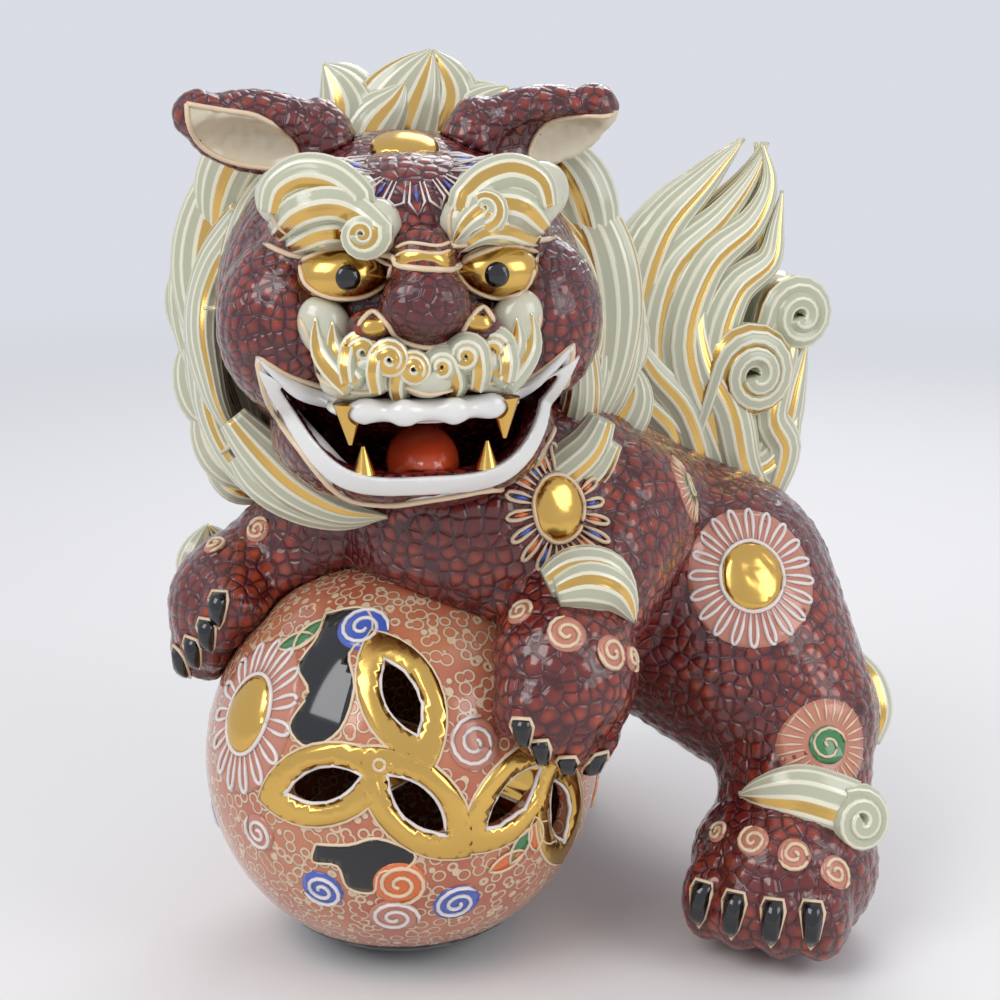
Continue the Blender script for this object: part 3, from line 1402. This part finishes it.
# %% Lips
def lip(gathered, outer, inner, thickness, sides=10):
    """A rounded lip between an outer line on the face and an inner line seen over the mouth."""
    overlap = 1.08
    outer = smooth_places(outer, 5)
    inner = smooth_places(inner, 5)
    rings = []
    for far, near in zip(outer, inner):
        edge, normal = seen(head_tree, *far)
        depth = (edge.y - ball_axis.y) / MM + 1.5
        rim = front(*near, depth)
        middle = (edge + rim) / 2
        half = (edge - rim) / 2
        out = (toward_viewer * 0.8 + normal * 0.2).normalized() * thickness * MM / 2
        for side in range(sides):
            angle = 2 * math.pi * side / sides
            rings.append(middle + half * overlap * math.cos(angle) + out * math.sin(angle))
    faces = []
    for index in range(len(outer) - 1):
        for side in range(sides):
            low = index * sides + side
            beside = index * sides + (side + 1) % sides
            faces.append((low, low + sides, beside + sides, beside))
    faces.append(tuple(range(sides)))
    faces.append(tuple(reversed(range((len(outer) - 1) * sides, len(outer) * sides))))
    gathered.add(rings, faces)


head_tree = tree_of(head_skin)
lips = Gathered()
lower_outer = [(257, 356), (268, 402), (300, 450), (340, 495), (385, 505), (430, 500),
               (478, 492), (522, 482), (549, 440), (563, 398), (574, 343)]
lower_inner = [(266, 360), (288, 398), (322, 438), (354, 470), (388, 481), (430, 477),
               (470, 475), (503, 468), (528, 432), (546, 396), (564, 350)]
upper_outer = [(257, 356), (290, 378), (330, 392), (370, 399), (410, 402), (450, 400),
               (490, 393), (530, 378), (574, 343)]
upper_inner = [(266, 368), (296, 398), (335, 409), (372, 414), (410, 422), (450, 421),
               (488, 411), (532, 392), (566, 360)]
lip(lips, lower_outer, lower_inner, 5)
lip(lips, upper_outer, upper_inner, 4)
lips_piece = lips.piece("lips", white_glaze, "white_glaze")
lip_tree = tree_of(lips_piece, head_skin)
trail(cream, lip_tree, lower_outer, 0.7)
trail(cream, lip_tree, [(257, 356), (290, 376), (330, 389)], 0.6)
trail(cream, lip_tree, [(574, 343), (535, 374), (500, 388)], 0.6)

# %% [markdown]
# The hollow of each ear is ivory inside a trailed rim. The ear's skin is one mesh, so the
# faces that turn to the viewer inside the rim's outline are given a second material.

# %% Ears
def view_place(point):
    """Where the camera sees a point, in steps across and down the view."""
    offset = point - camera_place
    depth = offset.dot(forward)
    return (view_size / 2 + offset.x / depth * focal_steps,
            view_size / 2 - offset.dot(upward) / depth * focal_steps)


right_cup = [(187, 104), (190, 128), (206, 150), (240, 165), (288, 168), (298, 152),
             (284, 132), (256, 116), (220, 110)]
left_cup = [(628, 104), (626, 128), (612, 150), (585, 168), (552, 178), (536, 168),
            (530, 150), (546, 124), (580, 116), (608, 116)]
for piece, outline in ((right_ear_skin, right_cup), (left_ear_skin, left_cup)):
    piece.data.materials.append(ivory_glaze)
    for polygon in piece.data.polygons:
        facing = polygon.normal.dot(polygon.center - camera_place) < 0
        if facing and inside(view_place(polygon.center), outline):
            polygon.material_index = 1
    trail(cream, ear_tree, outline + [outline[0]], 0.6)

# %% [markdown]
# All the ornament drawn so far is gathered by colour. Each colour becomes one piece, added to
# the castings and standing for none of them.

# %% The gathered ornament
ornament = (
    (gold, "gilding_ornament", gilding, "gilding"),
    (cream, "trailed_outlines", cream_enamel, "hair_glaze"),
    (white, "white_outlines", white_enamel, "white_glaze"),
    (dark, "black_fields", black_glaze, "claw_glaze"),
    (blue, "blue_fields", blue_enamel, "ball_glaze"),
    (orange, "orange_fields", orange_enamel, "red_glaze"),
    (green, "green_fields", green_enamel, "ball_glaze"),
    (pink, "pink_fields", pink_glaze, "ball_glaze"),
)
for gathered, name, material, slot in ornament:
    gathered.piece(name, material, slot)

# %% [markdown]
# Flame-shaped tufts stand off the hocks and wrists, and a ribbed band with a rolled end wraps
# each ankle. They are placed where the near leg shows them, and the far leg carries the same,
# mirrored over the middle of the body.

# %% Hock tufts and ankle bands
body_turn = Matrix.Rotation(math.radians(-55), 3, "Z")


def mirrored(point):
    """The place on the lion's other side that answers to a place."""
    place = body_turn.inverted() @ (point - ball_axis)
    place.x = -place.x
    return ball_axis + body_turn @ place


hock_locks = (([(864, 736), (846, 712), (828, 684), (822, 650), (830, 606)], 20, 10),
              ([(870, 738), (866, 706), (854, 676), (840, 648), (831, 612)], 17, 11),
              ([(870, 742), (876, 712), (870, 682), (856, 660), (840, 634)], 14, 9),
              ([(868, 730), (858, 702), (840, 690), (822, 672), (818, 650)], 22, 9))
band_places = ((742, 799), (765, 796), (795, 798), (825, 806), (846, 814))
band_lift, roll_size = 1.5, 7
tufts = Gathered()
for side in (1, -1):
    out = (body_turn @ Vector((side, 0.35, 0))).normalized()
    for places, depth_behind, width in hock_locks:
        depths = [depth_behind + 3 * step for step in range(len(places))]
        line = [front(x, y, depth) for (x, y), depth in zip(places, depths)]
        points = smooth_line(line)
        if side == -1:
            points = [mirrored(point) for point in points]
        lock(tufts, points, width, 8, out)
    band = seen_line(body_tree, band_places, band_lift)
    roll, normal = seen(body_tree, 850, 817)
    facing = (normal + toward_viewer).normalized()
    if side == -1:
        band = [mirrored(point) for point in band]
        roll = mirrored(roll)
        facing = mirrored(ball_axis + facing) - ball_axis
    lock(tufts, smooth_line(band[::-1]), 16, 6, facing, tip=0.12, root=1.0)
    centre = roll + facing * band_lift * MM
    level = facing.cross(Vector((0, 0, 1))).normalized() * side
    top = centre + Vector((0, 0, roll_size * MM))
    rolled = curl_end(smooth_line([top + level * 3 * MM, top]), centre, 1.9, facing, 1.5)
    lock(tufts, rolled, 5.5, 6, facing, tip=0.5, even=True)

# %% [markdown]
# The wrists carry smaller tufts. The near one is drawn where it is seen; the far one is hidden
# from the front, so it stands where the construction model has it.

# %% Wrist tufts
for places in ([(548, 590), (575, 577), (605, 580), (630, 612)],
               [(556, 600), (585, 590), (612, 596), (628, 625)]):
    lock(tufts, smooth_line(seen_line(body_tree, places, 2)), 12, 8, toward_viewer)
tuft_low, tuft_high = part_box("right_wrist_tuft")
tuft_middle = (tuft_low + tuft_high) / 2
_, out, _, _ = body_tree.find_nearest(tuft_middle)
for share in (-0.3, 0.3):
    beside = out.cross(Vector((0, 0, 1))) * (tuft_high.x - tuft_low.x) * share
    rise = [Vector((tuft_middle.x, tuft_middle.y, z)) + beside for z in (tuft_low.z, tuft_middle.z)]
    tuft_tip = Vector((tuft_middle.x, tuft_middle.y, tuft_high.z))
    lock(tufts, smooth_line(rise + [tuft_tip]), 9, 8, out, root=0.8)
tufts.piece("tufts", hair_glaze, "hair_glaze", "left_wrist_tuft", "right_wrist_tuft",
            "left_hock_tuft", "right_hock_tuft", "left_ankle_curl", "right_ankle_curl")

# %% [markdown]
# The fangs are smooth gilt cones, which the construction model already has in full, so they
# are only given their finish.

# %% Fangs
for name in ("left_upper_fang", "right_upper_fang", "left_lower_fang", "right_lower_fang"):
    fang = frame["nodes"][name]
    fang.data.materials.clear()
    fang.data.materials.append(gilding)
    print(name, "gilt")
